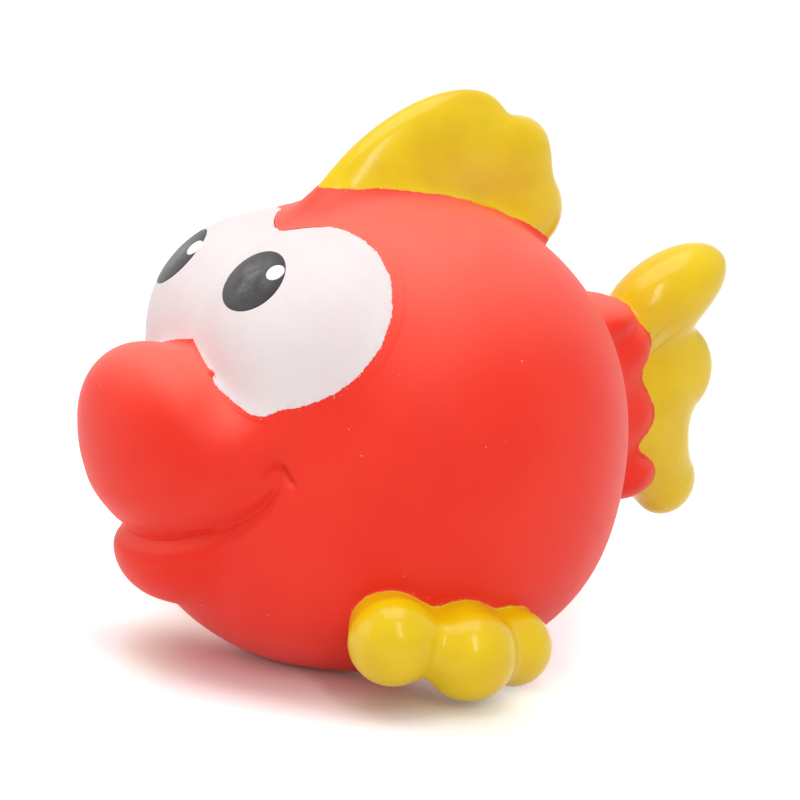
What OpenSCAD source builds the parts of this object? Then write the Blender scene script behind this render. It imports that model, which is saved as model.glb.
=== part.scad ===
// Squeaky bath toy: a hollow soft vinyl fish with a squeaker pressed into its belly.
// The fish looks along -Y, its left side is +X and it rests on the floor at z = 0.
// Each form is a smooth union of egg shapes; its skin is found along rays from a point inside.

/* [Body] */
// width of the round body
body_w = 60.4; // [54:0.1:68]
// length of the round body
body_l = 58; // [52:0.1:66]
// height of the round body before the flat
body_h = 56.2; // [50:0.1:62]
// how much of the body the flat belly takes off
belly_cut = 1.3; // [0.8:0.1:2]
// how far the body's middle lies ahead of the part's middle
body_ahead = 4.9; // [3:0.1:8]
// width of the wider lower body
jaw_w = 52.2; // [48:0.1:56]
// length of the wider lower body
jaw_l = 52; // [48:0.1:56]
// height of the wider lower body before the flat
jaw_h = 31; // [27:0.1:35]
// how much of the lower body the flat takes off
jaw_cut = 2; // [1.5:0.1:3]
// how far the lower body lies ahead of the body
jaw_ahead = 3; // [1:0.1:5]
// softness of the join between body and lower body
body_blend = 16; // [10:0.5:20]
// thickness of the vinyl wall
wall = 2.2; // [1.6:0.1:3]

/* [Nose, lip and mouth] */
// width of the bulbous nose
nose_w = 27.2; // [24:0.1:30]
// depth of the nose across its lean
nose_d = 15; // [13:0.1:18]
// height of the nose along its lean
nose_h = 26.8; // [24:0.1:30]
// how far the nose leans back, in degrees
nose_lean = 27; // [15:1:35]
// how far the nose lies ahead of the body's middle
nose_ahead = 31; // [29:0.1:33]
// how far the nose lies below the body's middle
nose_drop = 0.6; // [0:0.1:2]
// softness of the nose's join with the cheeks
cheek_blend = 15; // [8:0.5:18]
// width of the lower lip
lip_w = 17.6; // [14:0.1:21]
// depth of the lower lip
lip_d = 15; // [13:0.1:17]
// height of the lower lip
lip_h = 13.2; // [11:0.1:14.5]
// how far the lip lies ahead of the body's middle
lip_ahead = 28.9; // [27:0.1:30]
// how far the lip lies below the body's middle
lip_drop = 11.9; // [11:0.1:13]
// softness of the lip's join with the chin
lip_blend = 6; // [4:0.5:8]
// angle of the mouth below level at its middle, in degrees
mouth_low = 15; // [12:0.5:18]
// angle of the mouth below level at its corners, in degrees
mouth_high = 1.7; // [0:0.1:4]
// angle from the middle of the mouth round to a corner, in degrees
mouth_side = 35; // [30:1:40]
// depth of the crease of the mouth
mouth_deep = 1; // [0.6:0.1:1.5]
// half the width of the crease of the mouth
mouth_wide = 1.3; // [0.8:0.1:2]

/* [Eyes] */
// width of one eye dome
eye_w = 31; // [28:0.1:34]
// depth of one eye dome
eye_d = 29.4; // [27:0.1:32]
// height of one eye dome
eye_h = 28.6; // [26:0.1:31]
// distance of an eye's middle from the centre plane
eye_out = 6.3; // [5:0.1:8]
// how far the eyes lie ahead of the body's middle
eye_ahead = 12.7; // [11:0.1:14]
// how far the eyes lie above the body's middle
eye_rise = 11.2; // [10:0.1:12.5]
// softness of the fold round the eyes
eye_blend = 3.5; // [2.5:0.1:4.5]
// thickness of the white coat
coat = 0.25; // [0.2:0.05:0.35]
// gap under each coat
coat_gap = 0.25; // [0.2:0.05:0.35]
// how far the coat's edge stays inside the fold round the eyes
coat_inset = 1.5; // [1.2:0.1:2]
// width of a pupil
pupil_w = 10.3; // [9:0.1:11]
// height of a pupil
pupil_h = 9.1; // [8:0.1:10]
// turn of both pupils about their own middles, in degrees
pupil_turn = 12; // [0:1:20]
// angle that the left pupil looks up, in degrees
left_look_up = 45.4; // [41:0.1:49]
// angle that the left pupil looks outward, in degrees
left_look_out = 5.6; // [2:0.1:10]
// angle that the right pupil looks up, in degrees
right_look_up = 41.7; // [38:0.1:46]
// angle that the right pupil looks outward, in degrees
right_look_out = 28.2; // [22:0.1:32]
// width of the white glint
glint_w = 2.5; // [2:0.1:3]
// thickness of a pupil's and a glint's coat
ink = 0.15; // [0.1:0.05:0.25]
// gap under a pupil's and a glint's coat
ink_gap = 0.06; // [0.05:0.01:0.12]

/* [Back fin] */
// length of the sail of the back fin
sail_l = 32.6; // [28:0.1:36]
// height of the sail across its length
sail_h = 17; // [15:0.1:20]
// thickness of the sail
sail_t = 8; // [6:0.1:10]
// lean of the sail, in degrees
sail_lean = 31; // [26:1:36]
// how far the sail lies behind the body's middle
sail_behind = 2.6; // [1:0.1:4]
// how far the sail's middle lies above the body's top
sail_rise = 0.3; // [0:0.1:1]
// height of a lobe at the back of the fin
sail_lobe_h = 11; // [9:0.1:12.5]
// thickness of a lobe at the back of the fin
sail_lobe_t = 6.8; // [5:0.1:9]

/* [Tail] */
// reach of the tail behind the body
tail_out = 21.8; // [19:0.1:25]
// height of the tail from lowest to highest point
tail_h = 35.5; // [32:0.1:38]
// height of the tail's lowest point over the floor
tail_low = 8.6; // [6:0.1:11]
// thickness of the tail's lobes at the root
tail_t = 10; // [8:0.1:12]
// lean of the tail's top lobe, in degrees
tail_lean = 25; // [20:1:30]
// height of the red frill at the tail's root
frill_h = 28.3; // [26:0.1:31]
// height of the frill's lowest point over the floor
frill_low = 12.1; // [11:0.1:13]
// reach of the frill behind the body
frill_out = 9.8; // [8.5:0.1:11]
// thickness of the frill
frill_t = 13; // [12:0.1:15]
// softness of the frill's join with the body
frill_blend = 7; // [5:0.5:10]
// softness of the grooves between the frill's scallops
scallop_blend = 2.2; // [1.6:0.1:3]
// gap between the tail's root and the frill
tail_seam = 0.45; // [0.4:0.05:0.6]
// softness of the grooves between lobes
lobe_blend = 3.4; // [2.6:0.1:4]

/* [Side fins] */
// length of a side fin along the body
fin_l = 26; // [23:0.1:28]
// reach of a side fin beyond the body's half width
fin_out = 5.8; // [4:0.1:7]
// how deep the fin's root lies inside the body's half width
fin_root = 9; // [7:0.1:10]
// thickness of the thickest lobe
fin_t = 11.2; // [9.5:0.1:12]
// height of the lowest point over the floor
fin_low = 0.4; // [0.3:0.1:1.5]
// how far the fin's front lies ahead of the body's middle
fin_ahead = 21.4; // [19:0.1:24]
// softness of the dips between the fin's lobes
fin_blend = 6; // [4:0.1:7]

/* [Squeaker] */
// width of the hole through the belly wall
hole_d = 12.8; // [11.5:0.1:14]
// width of the round recess for the flange
recess_d = 17; // [16:0.1:18.5]
// depth of the recess
recess_deep = 1.5; // [1.2:0.1:2]
// thickness of the vinyl that the squeaker grips
seat_t = 2.4; // [2:0.1:3]
// width of the thick ring of vinyl inside
boss_d = 21; // [20:0.1:23]
// thickness of the flange
flange_t = 1; // [0.8:0.1:1.2]
// how far the barb stands out beyond the hole
barb_lip = 0.9; // [0.5:0.1:1.2]
// height of the tapered barb
barb_h = 2.4; // [2:0.1:3]
// outer width of the squeaker's tube
tube_d = 8; // [7:0.1:9]
// length of the tube above the barb
tube_l = 7.5; // [7:0.1:9]
// bore of the tube
bore_d = 5; // [4.6:0.1:5.4]
// width of the air port in the flange
port_d = 3; // [2:0.1:3.6]
// length of the half-round reed seat
shallot_l = 13; // [12:0.1:14]
// wall of the reed seat
shallot_wall = 0.8; // [0.6:0.1:1]
// length of the reed
reed_l = 11; // [10:0.1:11.5]
// width of the reed
reed_w = 3.6; // [3:0.1:4]
// thickness of the reed
reed_t = 0.25; // [0.2:0.05:0.3]
// free gap on each side of the reed
reed_gap = 0.25; // [0.22:0.01:0.3]
// length of the reed's root held by the wedge
wedge_l = 4; // [3.5:0.1:4.5]

/* [Fits] */
// running clearance between pieces pressed together
fit = 0.1; // [0.06:0.01:0.12]
// gap between a fin's root and the body's skin
seam = 0.3; // [0.2:0.05:0.35]

/* [Hidden] */
$fn = 48;

red = [0.86, 0.10, 0.07];
yellow = [0.90, 0.72, 0.08];
white = [0.93, 0.91, 0.91];
dark = [0.13, 0.13, 0.14];
ivory = [0.88, 0.87, 0.82];

// Places of the main forms.
body_at = [0, -body_ahead, body_h / 2 - belly_cut];
jaw_at = [0, -body_ahead - jaw_ahead, jaw_h / 2 - jaw_cut];
nose_at = body_at + [0, -nose_ahead, -nose_drop];
lip_at = body_at + [0, -lip_ahead, -lip_drop];
eye_at = body_at + [eye_out, -eye_ahead, eye_rise];
tail_y = body_at.y + body_l / 2;
sail_at = body_at + [0, sail_behind, body_h / 2 + sail_rise];

// Above the mouth the nose's fold grows to the cheeks' softness over this share of the nose's height.
cheek_grow_share = 0.333;
// The crease of the mouth runs out from this share of its angle, over the next share.
mouth_end_shares = [0.9, 0.2];
mouth_power = 4;

// Lobes at the back of the sail, in shares of the sail's length and height from its middle.
sail_lobe_shares = [[0.49, 0.15, 0.84], [0.52, -0.27, 1]];
// The fin's thick foot along the back, from front to rear, in the same shares.
sail_foot_shares = [[-0.30, -0.25, 0.40], [0.42, -0.42, 0.42]];
// The point inside the sail from which its skin is found, in the same shares.
sail_core_shares = [0.2, -1.2];

// The tail's top lobe: its middle, then its length and height, in shares of the tail's reach and height.
tail_tip_shares = [[0.552, 0.81], [0.87, 0.28]];
// The lower lobes: root and tip in the same shares, then their radii in shares of height, then flatness.
tail_lobe_shares = [
    [[0.27, 0.37], [0.59, 0.525], 0.255, 0.18, 0.8],
    [[0.35, 0.33], [0.56, 0.127], 0.175, 0.127, 0.85]];
tail_core_shares = [-0.264, 0.42];

// Frill scallops: place of the middle in shares of reach and height, then length and height in the same shares.
frill_shares = [
    [[0.14, 0.835], [0.80, 0.20]],
    [[0.33, 0.70], [1.02, 0.33]],
    [[0.37, 0.40], [1.06, 0.35]],
    [[0.41, 0.13], [1.04, 0.27]]];
// The plain skirt under the scallops, in the same shares.
frill_skirt_shares = [[0, 0.44], [1.5, 0.84]];

// Side fin lobes: root and tip in shares of reach, length and thickness, then radii in shares of thickness.
fin_lobe_shares = [
    [[0.05, 0.30, 0.81], [0.46, 0.21, 0.72], 0.36, 0.48],
    [[0.05, 0.61, 0.72], [0.62, 0.55, 0.50], 0.38, 0.50],
    [[0.05, 0.80, 0.63], [0.46, 0.84, 0.41], 0.34, 0.42]];
fin_core_shares = [0, 0.5, 0.8];
fin_at = [body_w / 2 - fin_root, body_at.y - fin_ahead, fin_low];
fin_size = [fin_out + fin_root, fin_l, fin_t];

// Place of each glint from its pupil's middle, in shares of the pupil's width and height.
left_glint_shares = [0.23, 0.27];
right_glint_shares = [-0.345, 0.21];

// Mesh counts: points round, rings out, rings back in; and how far round a patch may reach, in degrees.
body_turns = 72;
body_low_rings = 14;
body_high_rings = 25;
body_inner_rings = 8;
eye_counts = [48, 9, 6];
pupil_counts = [20, 4, 3];
glint_counts = [12, 2, 2];
sail_counts = [38, 11, 4];
tail_counts = [40, 12, 4];
fin_counts = [32, 10, 3];
eyes_widest = 125;
print_widest = 60;
sail_widest = 75;
tail_widest = 88;
fin_widest = 85;
halvings = 14;
edge_halvings = 12;
turn_bunch_share = 0.3;
ring_bunch_share = 1.25;
// How much closer points lie along the length of a patch that is longer than wide.
sail_long_share = 0.77;
tail_long_share = 0.7;
fin_long_share = 0.65;
tiny = 0.000001;
belly_round = 1.5;
eyes_aim = 35;

function ease(t) = let (u = min(max(t, 0), 1)) u * u * (3 - 2 * u);
function blend(a, b, k) = let (h = max(k - abs(a - b), 0) / k) min(a, b) - h * h * h * k / 6;
function unit(v) = v / norm(v);
function fold(p) = [abs(p.x), p.y, p.z];
function flip(p) = [-p.x, p.y, p.z];
function over(a, b) = [for (i = [0:2]) a[i] / b[i]];

// Distance, nearly, to an egg of the given widths; lean turns it back about X.
function egg(p, at, size, lean = 0) =
    let (d = p - at)
    let (q = [d.x, d.y * cos(lean) + d.z * sin(lean), d.z * cos(lean) - d.y * sin(lean)])
    let (r = size / 2)
    let (a = norm(over(q, r)), b = norm(over(over(q, r), r)))
    a * (a - 1) / max(b, tiny);

// Distance to a tapered finger from a to b; flat squeezes it across X.
function finger(p, a, b, ra, rb, flat) =
    let (s = [flat * p.x, p.y, p.z] - [flat * a.x, a.y, a.z])
    let (d = [flat * (b.x - a.x), b.y - a.y, b.z - a.z])
    let (t = min(max(s * d / (d * d), 0), 1))
    norm(s - t * d) - (ra + (rb - ra) * t);

// Smallest of a list of distances, with a fold of softness k where two meet.
function join(list, k, i = 0) =
    i == len(list) - 1 ? list[i] : blend(list[i], join(list, k, i + 1), k);

// Body, lower body and the scalloped frill round the tail's root.
function frill_egg(p, s) =
    egg(p, [0, tail_y + s[0].x * frill_out, frill_low + s[0].y * frill_h],
        [frill_t, s[1].x * frill_out, s[1].y * frill_h]);
function frill(p) = join([for (s = concat([frill_skirt_shares], frill_shares)) frill_egg(p, s)], scallop_blend);
function trunk(p) =
    blend(
        blend(egg(p, body_at, [body_w, body_l, body_h]), egg(p, jaw_at, [jaw_w, jaw_l, jaw_h]), body_blend),
        frill(p), frill_blend);

// The mouth is a line on the face: its angle below level, seen from the body's middle.
function round_angle(p) = atan2(abs(p.x), body_at.y - p.y);
function mouth_angle(turn) = -mouth_low + (mouth_low - mouth_high) * pow(min(turn / mouth_side, 1), mouth_power);
function over_mouth(p) =
    let (d = p - body_at, flat = norm([d.x, d.y]))
    (atan2(d.z, flat) - mouth_angle(round_angle(p))) * norm(d) * PI / 180;
function crease(p) =
    let (h = over_mouth(p) / mouth_wide)
    mouth_deep * exp(-h * h) * (1 - ease((round_angle(p) / mouth_side - mouth_end_shares[0]) / mouth_end_shares[1]));

// The nose rests sharply on the lip and flows into the cheeks above the mouth.
function cheek(p) =
    mouth_wide + (cheek_blend - mouth_wide) * ease(over_mouth(p) / (cheek_grow_share * nose_h));
function lower(p) = blend(trunk(p), egg(p, lip_at, [lip_w, lip_d, lip_h]), lip_blend);
function under_eyes(p) =
    blend(lower(p), egg(p, nose_at, [nose_w, nose_d, nose_h], nose_lean), cheek(p)) + crease(p);
function domes(p) = egg(fold(p), eye_at, [eye_w, eye_d, eye_h]);
function skin(p) = blend(under_eyes(p), domes(p), eye_blend);

// The fins before their roots are cut to the body.
function sail(p) =
    join(concat(
        [egg(p, sail_at, [sail_t, sail_l, sail_h], sail_lean)],
        [for (s = sail_lobe_shares)
            egg(p, sail_at + [0, s[0] * sail_l, s[1] * sail_h],
                [sail_lobe_t, s[2] * sail_lobe_h, s[2] * sail_lobe_h])],
        [let (a = sail_foot_shares[0], b = sail_foot_shares[1])
            finger(p, sail_at + [0, a[0] * sail_l, a[1] * sail_h], sail_at + [0, b[0] * sail_l, b[1] * sail_h],
                a[2] * sail_t, b[2] * sail_t, 1)]), lobe_blend);
function tail_point(share) = [0, tail_y + share.x * tail_out, tail_low + share.y * tail_h];
function tail(p) =
    join(concat(
        [let (s = tail_tip_shares)
            egg(p, tail_point(s[0]), [tail_t, s[1].x * tail_out, s[1].y * tail_h], tail_lean)],
        [for (s = tail_lobe_shares)
            finger(p, tail_point(s[0]), tail_point(s[1]), s[2] * tail_h, s[3] * tail_h,
                2 * s[2] * tail_h / (s[4] * tail_t))]), lobe_blend);
function fin_point(share) = fin_at + [for (i = [0:2]) share[i] * fin_size[i]];
function side_fin(p) =
    join([for (s = fin_lobe_shares)
        finger(p, fin_point(s[0]), fin_point(s[1]), s[2] * fin_t, s[3] * fin_t, 1)], fin_blend);

// Where the line from o along d leaves the form f, between lo and hi.
function leave(f, o, d, lo, hi, n = halvings) =
    let (m = (lo + hi) / 2)
    n == 0 ? m : f(o + m * d) < 0 ? leave(f, o, d, m, hi, n - 1) : leave(f, o, d, lo, m, n - 1);

// Directions round an axis a: tip degrees off it, at turn degrees round it, bunched by long.
function frame(a, side) = let (e = unit(cross(a, side))) [a, cross(e, a), e];
function aim(fr, tip, turn, long) =
    cos(tip) * fr[0] + sin(tip) * unit(cos(turn) * fr[1] + long * sin(turn) * fr[2]);

// Faces of a closed skin: a first pole, rings of the same count, and a last pole.
function faces_of(rings, turns) =
    let (last = rings * turns + 1)
    concat(
        [for (i = [0:turns - 1]) [0, 1 + (i + 1) % turns, 1 + i]],
        [for (j = [0:rings - 2], i = [0:turns - 1])
            let (a = 1 + j * turns, b = a + turns, k = (i + 1) % turns)
            each [[a + i, a + k, b + k], [a + i, b + k, b + i]]],
        [for (i = [0:turns - 1]) let (a = last - turns) [a + i, a + (i + 1) % turns, last]]);
module closed_skin(first, rings, last) {
    polyhedron(
        points = concat([first], [for (r = rings) each r], [last]),
        faces = faces_of(len(rings), len(rings[0])));
}

// The same skin on the other side of the centre plane.
function mirrored(rings) = [for (r = rings) [for (i = [len(r) - 1:-1:0]) flip(r[i])]];

// A patch seen from o: its outer and inner skins, out to the rim where edge stops being negative.
function rim_tip(o, fr, turn, long, inner, edge, near, far, lo, hi, n = edge_halvings) =
    let (m = (lo + hi) / 2, d = aim(fr, m, turn, long))
    n == 0 ? m
        : edge(o + leave(inner, o, d, near, far) * d) < 0
            ? rim_tip(o, fr, turn, long, inner, edge, near, far, m, hi, n - 1)
            : rim_tip(o, fr, turn, long, inner, edge, near, far, lo, m, n - 1);
function patch(o, fr, long, outer, inner, edge, near, far, widest, counts, walled) =
    let (turns = counts[0], out_rings = counts[1], in_rings = counts[2])
    let (tips = [for (i = [0:turns - 1])
        rim_tip(o, fr, 360 * i / turns, long, inner, edge, near, far, 0, widest)])
    let (low = function(d) leave(inner, o, d, near, far))
    let (high = function(d) leave(outer, o, d, low(d), far))
    let (ring = function(reach, share)
        [for (i = [0:turns - 1])
            let (d = aim(fr, share * tips[i], 360 * i / turns, long))
            o + reach(d) * d])
    concat(
        [[o + high(fr[0]) * fr[0]]],
        [for (j = [1:out_rings - 1]) ring(high, sin(90 * j / out_rings))],
        walled ? [ring(high, 1)] : [],
        [ring(low, 1)],
        [for (j = [in_rings - 1:-1:1]) ring(low, j / in_rings)],
        [[o + low(fr[0]) * fr[0]]]);
function inside(list) = [for (i = [1:len(list) - 2]) list[i]];
module patch_skin(p) {
    closed_skin(p[0][0], inside(p), p[len(p) - 1][0]);
}
module mirrored_patch_skin(p) {
    closed_skin(flip(p[0][0]), mirrored(inside(p)), flip(p[len(p) - 1][0]));
}

// Body shell: one skin that runs down the outside, round the squeaker's seat and up the inside.
function turn_at(i) = let (t = 360 * i / body_turns) t - turn_bunch_share * 90 / PI * sin(2 * t);
function level(turn, rise) = [cos(rise) * sin(turn), -cos(rise) * cos(turn), sin(rise)];
function body_out(d) =
    let (r = leave(function(p) skin(p), body_at, d, wall, body_l))
    d.z < 0 ? blend(r, -body_at.z / d.z, belly_round) : r;
function body_in(d) =
    let (r = leave(function(p) skin(p) + wall, body_at, d, 0, body_l))
    d.z < 0 ? min(r, (wall - body_at.z) / d.z) : r;
function circle_at(r, z) = [for (i = [0:body_turns - 1]) [0, body_at.y, z] + r * level(turn_at(i), 0)];
module body_shell() {
    seat_top = recess_deep + seat_t;
    low = -atan(2 * body_at.z / recess_d);
    low_in = -atan(2 * (body_at.z - wall) / boss_d);
    top = level(0, 90);
    color(red)
    closed_skin(
        body_at + body_out(top) * top,
        concat(
            [for (j = [1:body_high_rings]) [for (i = [0:body_turns - 1])
                let (m = mouth_angle(min(turn_at(i), 360 - turn_at(i))))
                let (d = level(turn_at(i), m + (90 - m) * pow(1 - j / body_high_rings, ring_bunch_share)))
                body_at + body_out(d) * d]],
            [for (j = [1:body_low_rings - 1]) [for (i = [0:body_turns - 1])
                let (m = mouth_angle(min(turn_at(i), 360 - turn_at(i))))
                let (d = level(turn_at(i), m + (low - m) * pow(j / body_low_rings, ring_bunch_share)))
                body_at + body_out(d) * d]],
            [circle_at(recess_d / 2, 0), circle_at(recess_d / 2, recess_deep),
                circle_at(hole_d / 2, recess_deep), circle_at(hole_d / 2, seat_top),
                circle_at(boss_d / 2, seat_top), circle_at(boss_d / 2, wall)],
            [for (j = [1:body_inner_rings - 1]) [for (i = [0:body_turns - 1])
                let (d = level(turn_at(i), low_in + (90 - low_in) * j / body_inner_rings))
                body_at + body_in(d) * d]]),
        body_at + body_in(top) * top);
}

// Paint on the eyes: each coat lies over the one below it.
function coat_over(h) = function(p) skin(p) - h;
ink_low = coat_gap + coat + ink_gap;
glint_low = ink_low + ink + ink_gap;
eyes_from = [0, eye_at.y, eye_at.z];
eyes_frame = frame([0, -cos(eyes_aim), sin(eyes_aim)], [1, 0, 0]);
function look(up, out, turn) =
    let (fr = frame([sin(out) * cos(up), -cos(out) * cos(up), sin(up)], [1, 0, 0]))
    [fr[0], cos(turn) * fr[1] + sin(turn) * fr[2], cos(turn) * fr[2] - sin(turn) * fr[1]];
left_look = look(left_look_up, left_look_out, -pupil_turn);
right_look = look(right_look_up, right_look_out, pupil_turn);
module eye_whites() {
    color(white)
    patch_skin(patch(eyes_from, eyes_frame, 1, coat_over(coat_gap + coat), coat_over(coat_gap),
        function(p) domes(p) - under_eyes(p) + coat_inset, eye_blend, eye_w, eyes_widest, eye_counts, true));
}
function oval(o, fr, w, h) = function(p) norm([2 * (p - o) * fr[1] / w, 2 * (p - o) * fr[2] / h]) - 1;
function pupil_patch(fr) =
    patch(eye_at, fr, 1, coat_over(ink_low + ink), coat_over(ink_low),
        oval(eye_at, fr, pupil_w, pupil_h), eye_blend, eye_w, print_widest, pupil_counts, true);
function glint_patch(look, share) =
    let (aside = share.x * pupil_w * look[1] + share.y * pupil_h * look[2])
    let (fr = frame(unit(look[0] + 2 * aside / eye_h), [1, 0, 0]))
    patch(eye_at, fr, 1, coat_over(glint_low + ink), coat_over(glint_low),
        oval(eye_at, fr, glint_w, glint_w), eye_blend, eye_w, print_widest, glint_counts, true);
module left_pupil() {
    color(dark) patch_skin(pupil_patch(left_look));
}
module right_pupil() {
    color(dark) mirrored_patch_skin(pupil_patch(right_look));
}
module left_glint() {
    color(white) patch_skin(glint_patch(left_look, left_glint_shares));
}
module right_glint() {
    color(white) mirrored_patch_skin(glint_patch(right_look, right_glint_shares));
}

// Fins: each is a patch whose inner skin lies a seam off the body.
module dorsal_fin() {
    core = sail_at + [0, sail_core_shares.x * sail_l, sail_core_shares.y * sail_h];
    color(yellow)
    patch_skin(patch(core, frame([0, 0, 1], [1, 0, 0]), sail_long_share * sail_l / sail_t,
        function(p) sail(p), coat_over(seam), function(p) sail(p), wall, 2 * sail_l, sail_widest, sail_counts, false));
}
module tail_fin() {
    color(yellow)
    patch_skin(patch(tail_point(tail_core_shares), frame([0, 1, 0], [1, 0, 0]), tail_long_share * tail_h / tail_t,
        function(p) tail(p), coat_over(tail_seam), function(p) tail(p), wall, 2 * tail_h, tail_widest, tail_counts,
        false));
}
fin_patch = patch(fin_point(fin_core_shares), frame([1, 0, 0], [0, 0, 1]), fin_long_share * fin_l / fin_t,
    function(p) side_fin(p), coat_over(seam), function(p) side_fin(p), 0, 2 * fin_l, fin_widest, fin_counts, false);
module left_pectoral_fin() {
    color(yellow) patch_skin(fin_patch);
}
module right_pectoral_fin() {
    color(yellow) mirrored_patch_skin(fin_patch);
}

// Squeaker: a plug pressed into the belly, with a reed that beats on a half-round seat.
plug_r = hole_d / 2 - fit;
seat_top = recess_deep + seat_t;
barb_top = seat_top + fit + barb_h;
tube_top = barb_top + tube_l;
reed_face = bore_d / 2 - fit;
module on_belly() {
    translate([0, body_at.y, 0]) children();
}
module squeaker_plug() {
    low = recess_deep - flange_t - fit / 2;
    color(ivory)
    on_belly()
    rotate_extrude()
    polygon([
        [port_d / 2, low],
        [recess_d / 2 - 3 * fit, low],
        [recess_d / 2 - 3 * fit, recess_deep - fit / 2],
        [plug_r, recess_deep - fit / 2],
        [plug_r, seat_top + fit / 2],
        [plug_r + barb_lip, seat_top + fit / 2],
        [plug_r + barb_lip, seat_top + fit / 2 + barb_h / 3],
        [tube_d / 2, barb_top],
        [tube_d / 2, tube_top],
        [bore_d / 2, tube_top],
        [bore_d / 2, low + flange_t],
        [port_d / 2, low + flange_t]]);
}
reed_low = tube_top - wedge_l - fit;
module half_round(h, r, side) {
    intersection() {
        cylinder(h = h, r = r);
        translate([-r, side > 0 ? 0 : -r, 0]) cube([2 * r, r, h]);
    }
}
module reed_seat() {
    color(ivory)
    on_belly()
    translate([0, 0, reed_low])
    difference() {
        half_round(shallot_l, reed_face, 1);
        translate([0, 0, -fit]) cylinder(h = shallot_l - shallot_wall + fit, r = reed_face - shallot_wall);
    }
}
module reed() {
    color(ivory)
    on_belly()
    translate([-reed_w / 2, -reed_gap - reed_t, reed_low + fit]) cube([reed_w, reed_t, reed_l]);
}
module reed_wedge() {
    slot = 2 * reed_gap + reed_t;
    color(ivory)
    on_belly()
    translate([0, 0, reed_low])
    difference() {
        cylinder(h = wedge_l, r = reed_face);
        translate([-bore_d, -slot, -fit]) cube([2 * bore_d, 2 * bore_d, wedge_l + 2 * fit]);
    }
}

body_shell();
eye_whites();
left_pupil();
right_pupil();
left_glint();
right_glint();
dorsal_fin();
tail_fin();
left_pectoral_fin();
right_pectoral_fin();
squeaker_plug();
reed_seat();
reed();
reed_wedge();
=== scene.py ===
"""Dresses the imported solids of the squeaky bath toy: a hollow soft vinyl fish with sprayed paint.

The toy is one moulding, so every skin here is cut from the same smooth union of egg shapes as the solids.
Shapes are worked out in millimetres, as arrays of x, y and z rows, and become metres in the mesh.
"""
import math

import bpy
import numpy as np
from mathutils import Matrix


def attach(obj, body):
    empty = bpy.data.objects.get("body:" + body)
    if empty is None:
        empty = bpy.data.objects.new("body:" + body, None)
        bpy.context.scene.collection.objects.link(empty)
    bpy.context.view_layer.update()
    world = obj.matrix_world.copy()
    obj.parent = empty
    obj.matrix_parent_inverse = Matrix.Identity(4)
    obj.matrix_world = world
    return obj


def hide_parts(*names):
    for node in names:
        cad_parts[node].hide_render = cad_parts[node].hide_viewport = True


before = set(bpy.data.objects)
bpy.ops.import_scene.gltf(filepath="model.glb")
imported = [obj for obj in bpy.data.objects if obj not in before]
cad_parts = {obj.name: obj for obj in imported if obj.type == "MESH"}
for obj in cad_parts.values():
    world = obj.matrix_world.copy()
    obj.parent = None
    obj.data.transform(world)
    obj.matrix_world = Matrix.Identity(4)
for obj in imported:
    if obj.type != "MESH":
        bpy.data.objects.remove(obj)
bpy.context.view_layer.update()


# Camera: a long lens, a little above the toy, ahead of it and to its left.
# The picture is square; its middle is a point inside the body.
CAMERA_ROUND = math.radians(58.7)
CAMERA_UP = math.radians(14.34)
CAMERA_AWAY = 0.5374
CAMERA_AIM = (0.0, -0.0029, 0.0287)
LENS, SENSOR, SIGHT = 198.06, 36.0, 20.0
to_camera = np.array([
    math.sin(CAMERA_ROUND) * math.cos(CAMERA_UP),
    -math.cos(CAMERA_ROUND) * math.cos(CAMERA_UP),
    math.sin(CAMERA_UP)])
camera = bpy.data.objects.new("camera", bpy.data.cameras.new("camera"))
camera.data.sensor_width = SENSOR
camera.data.lens = LENS
camera.data.clip_end = SIGHT
camera.location = np.array(CAMERA_AIM) + CAMERA_AWAY * to_camera
camera.rotation_euler = (math.pi / 2 - CAMERA_UP, 0.0, CAMERA_ROUND)
bpy.context.scene.collection.objects.link(camera)
bpy.context.scene.camera = camera
bpy.context.scene.view_settings.view_transform = "Standard"


# Floor and light: a sheet of smooth white paper in a white room, with a broad lamp above, a strip and
# one in front. The camera sees the paper glow a little, a painted light left out in a fixed ellipse round the
# toy's foot: a painted shadow.
FLOOR_HALF = 4.0
PAPER, PAPER_PALE = (0.81, 0.80, 0.80, 1.0), (0.84, 0.83, 0.83, 1.0)
PAPER_GLOW, SHADOW_GLOW = (0.50, 0.50, 0.50, 1.0), (0.02, 0.01, 0.01, 1.0)
SHADOW_AT, SHADOW_TURN, SHADOW_STRETCH = (0.013, -0.0245, 0.0), 20.7, (1.3, 0.4, 1.0)
SHADOW_DEEP, SHADOW_END = 0.011, 0.038
WHITE, ROOM_LIGHT, ROOM_SEEN = (1.0, 1.0, 1.0, 1.0), 0.60, 1.0


class Wire:
    """One output of a node; + - and * between wires and numbers add the Math nodes that work them out."""

    def __init__(self, tree, socket):
        self.tree = tree
        self.socket = socket

    def math(self, operation, first, second):
        """One Math node."""
        return add(self.tree, "Math", {"operation": operation}, {0: first, 1: second})

    def __add__(self, other):
        return self.math("ADD", self, other)

    def __radd__(self, other):
        return self.math("ADD", other, self)

    def __sub__(self, other):
        return self.math("SUBTRACT", self, other)

    def __rsub__(self, other):
        return self.math("SUBTRACT", other, self)

    def __mul__(self, other):
        return self.math("MULTIPLY", self, other)

    def __rmul__(self, other):
        return self.math("MULTIPLY", other, self)

    def most(self, other):
        """The larger of the two."""
        return self.math("MAXIMUM", self, other)

    def step(self, low, high):
        """0 below low, 1 above high, and a smooth rise between them."""
        return add(self.tree, "MapRange", {"interpolation_type": "SMOOTHSTEP"}, {0: self, 1: low, 2: high})


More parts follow.
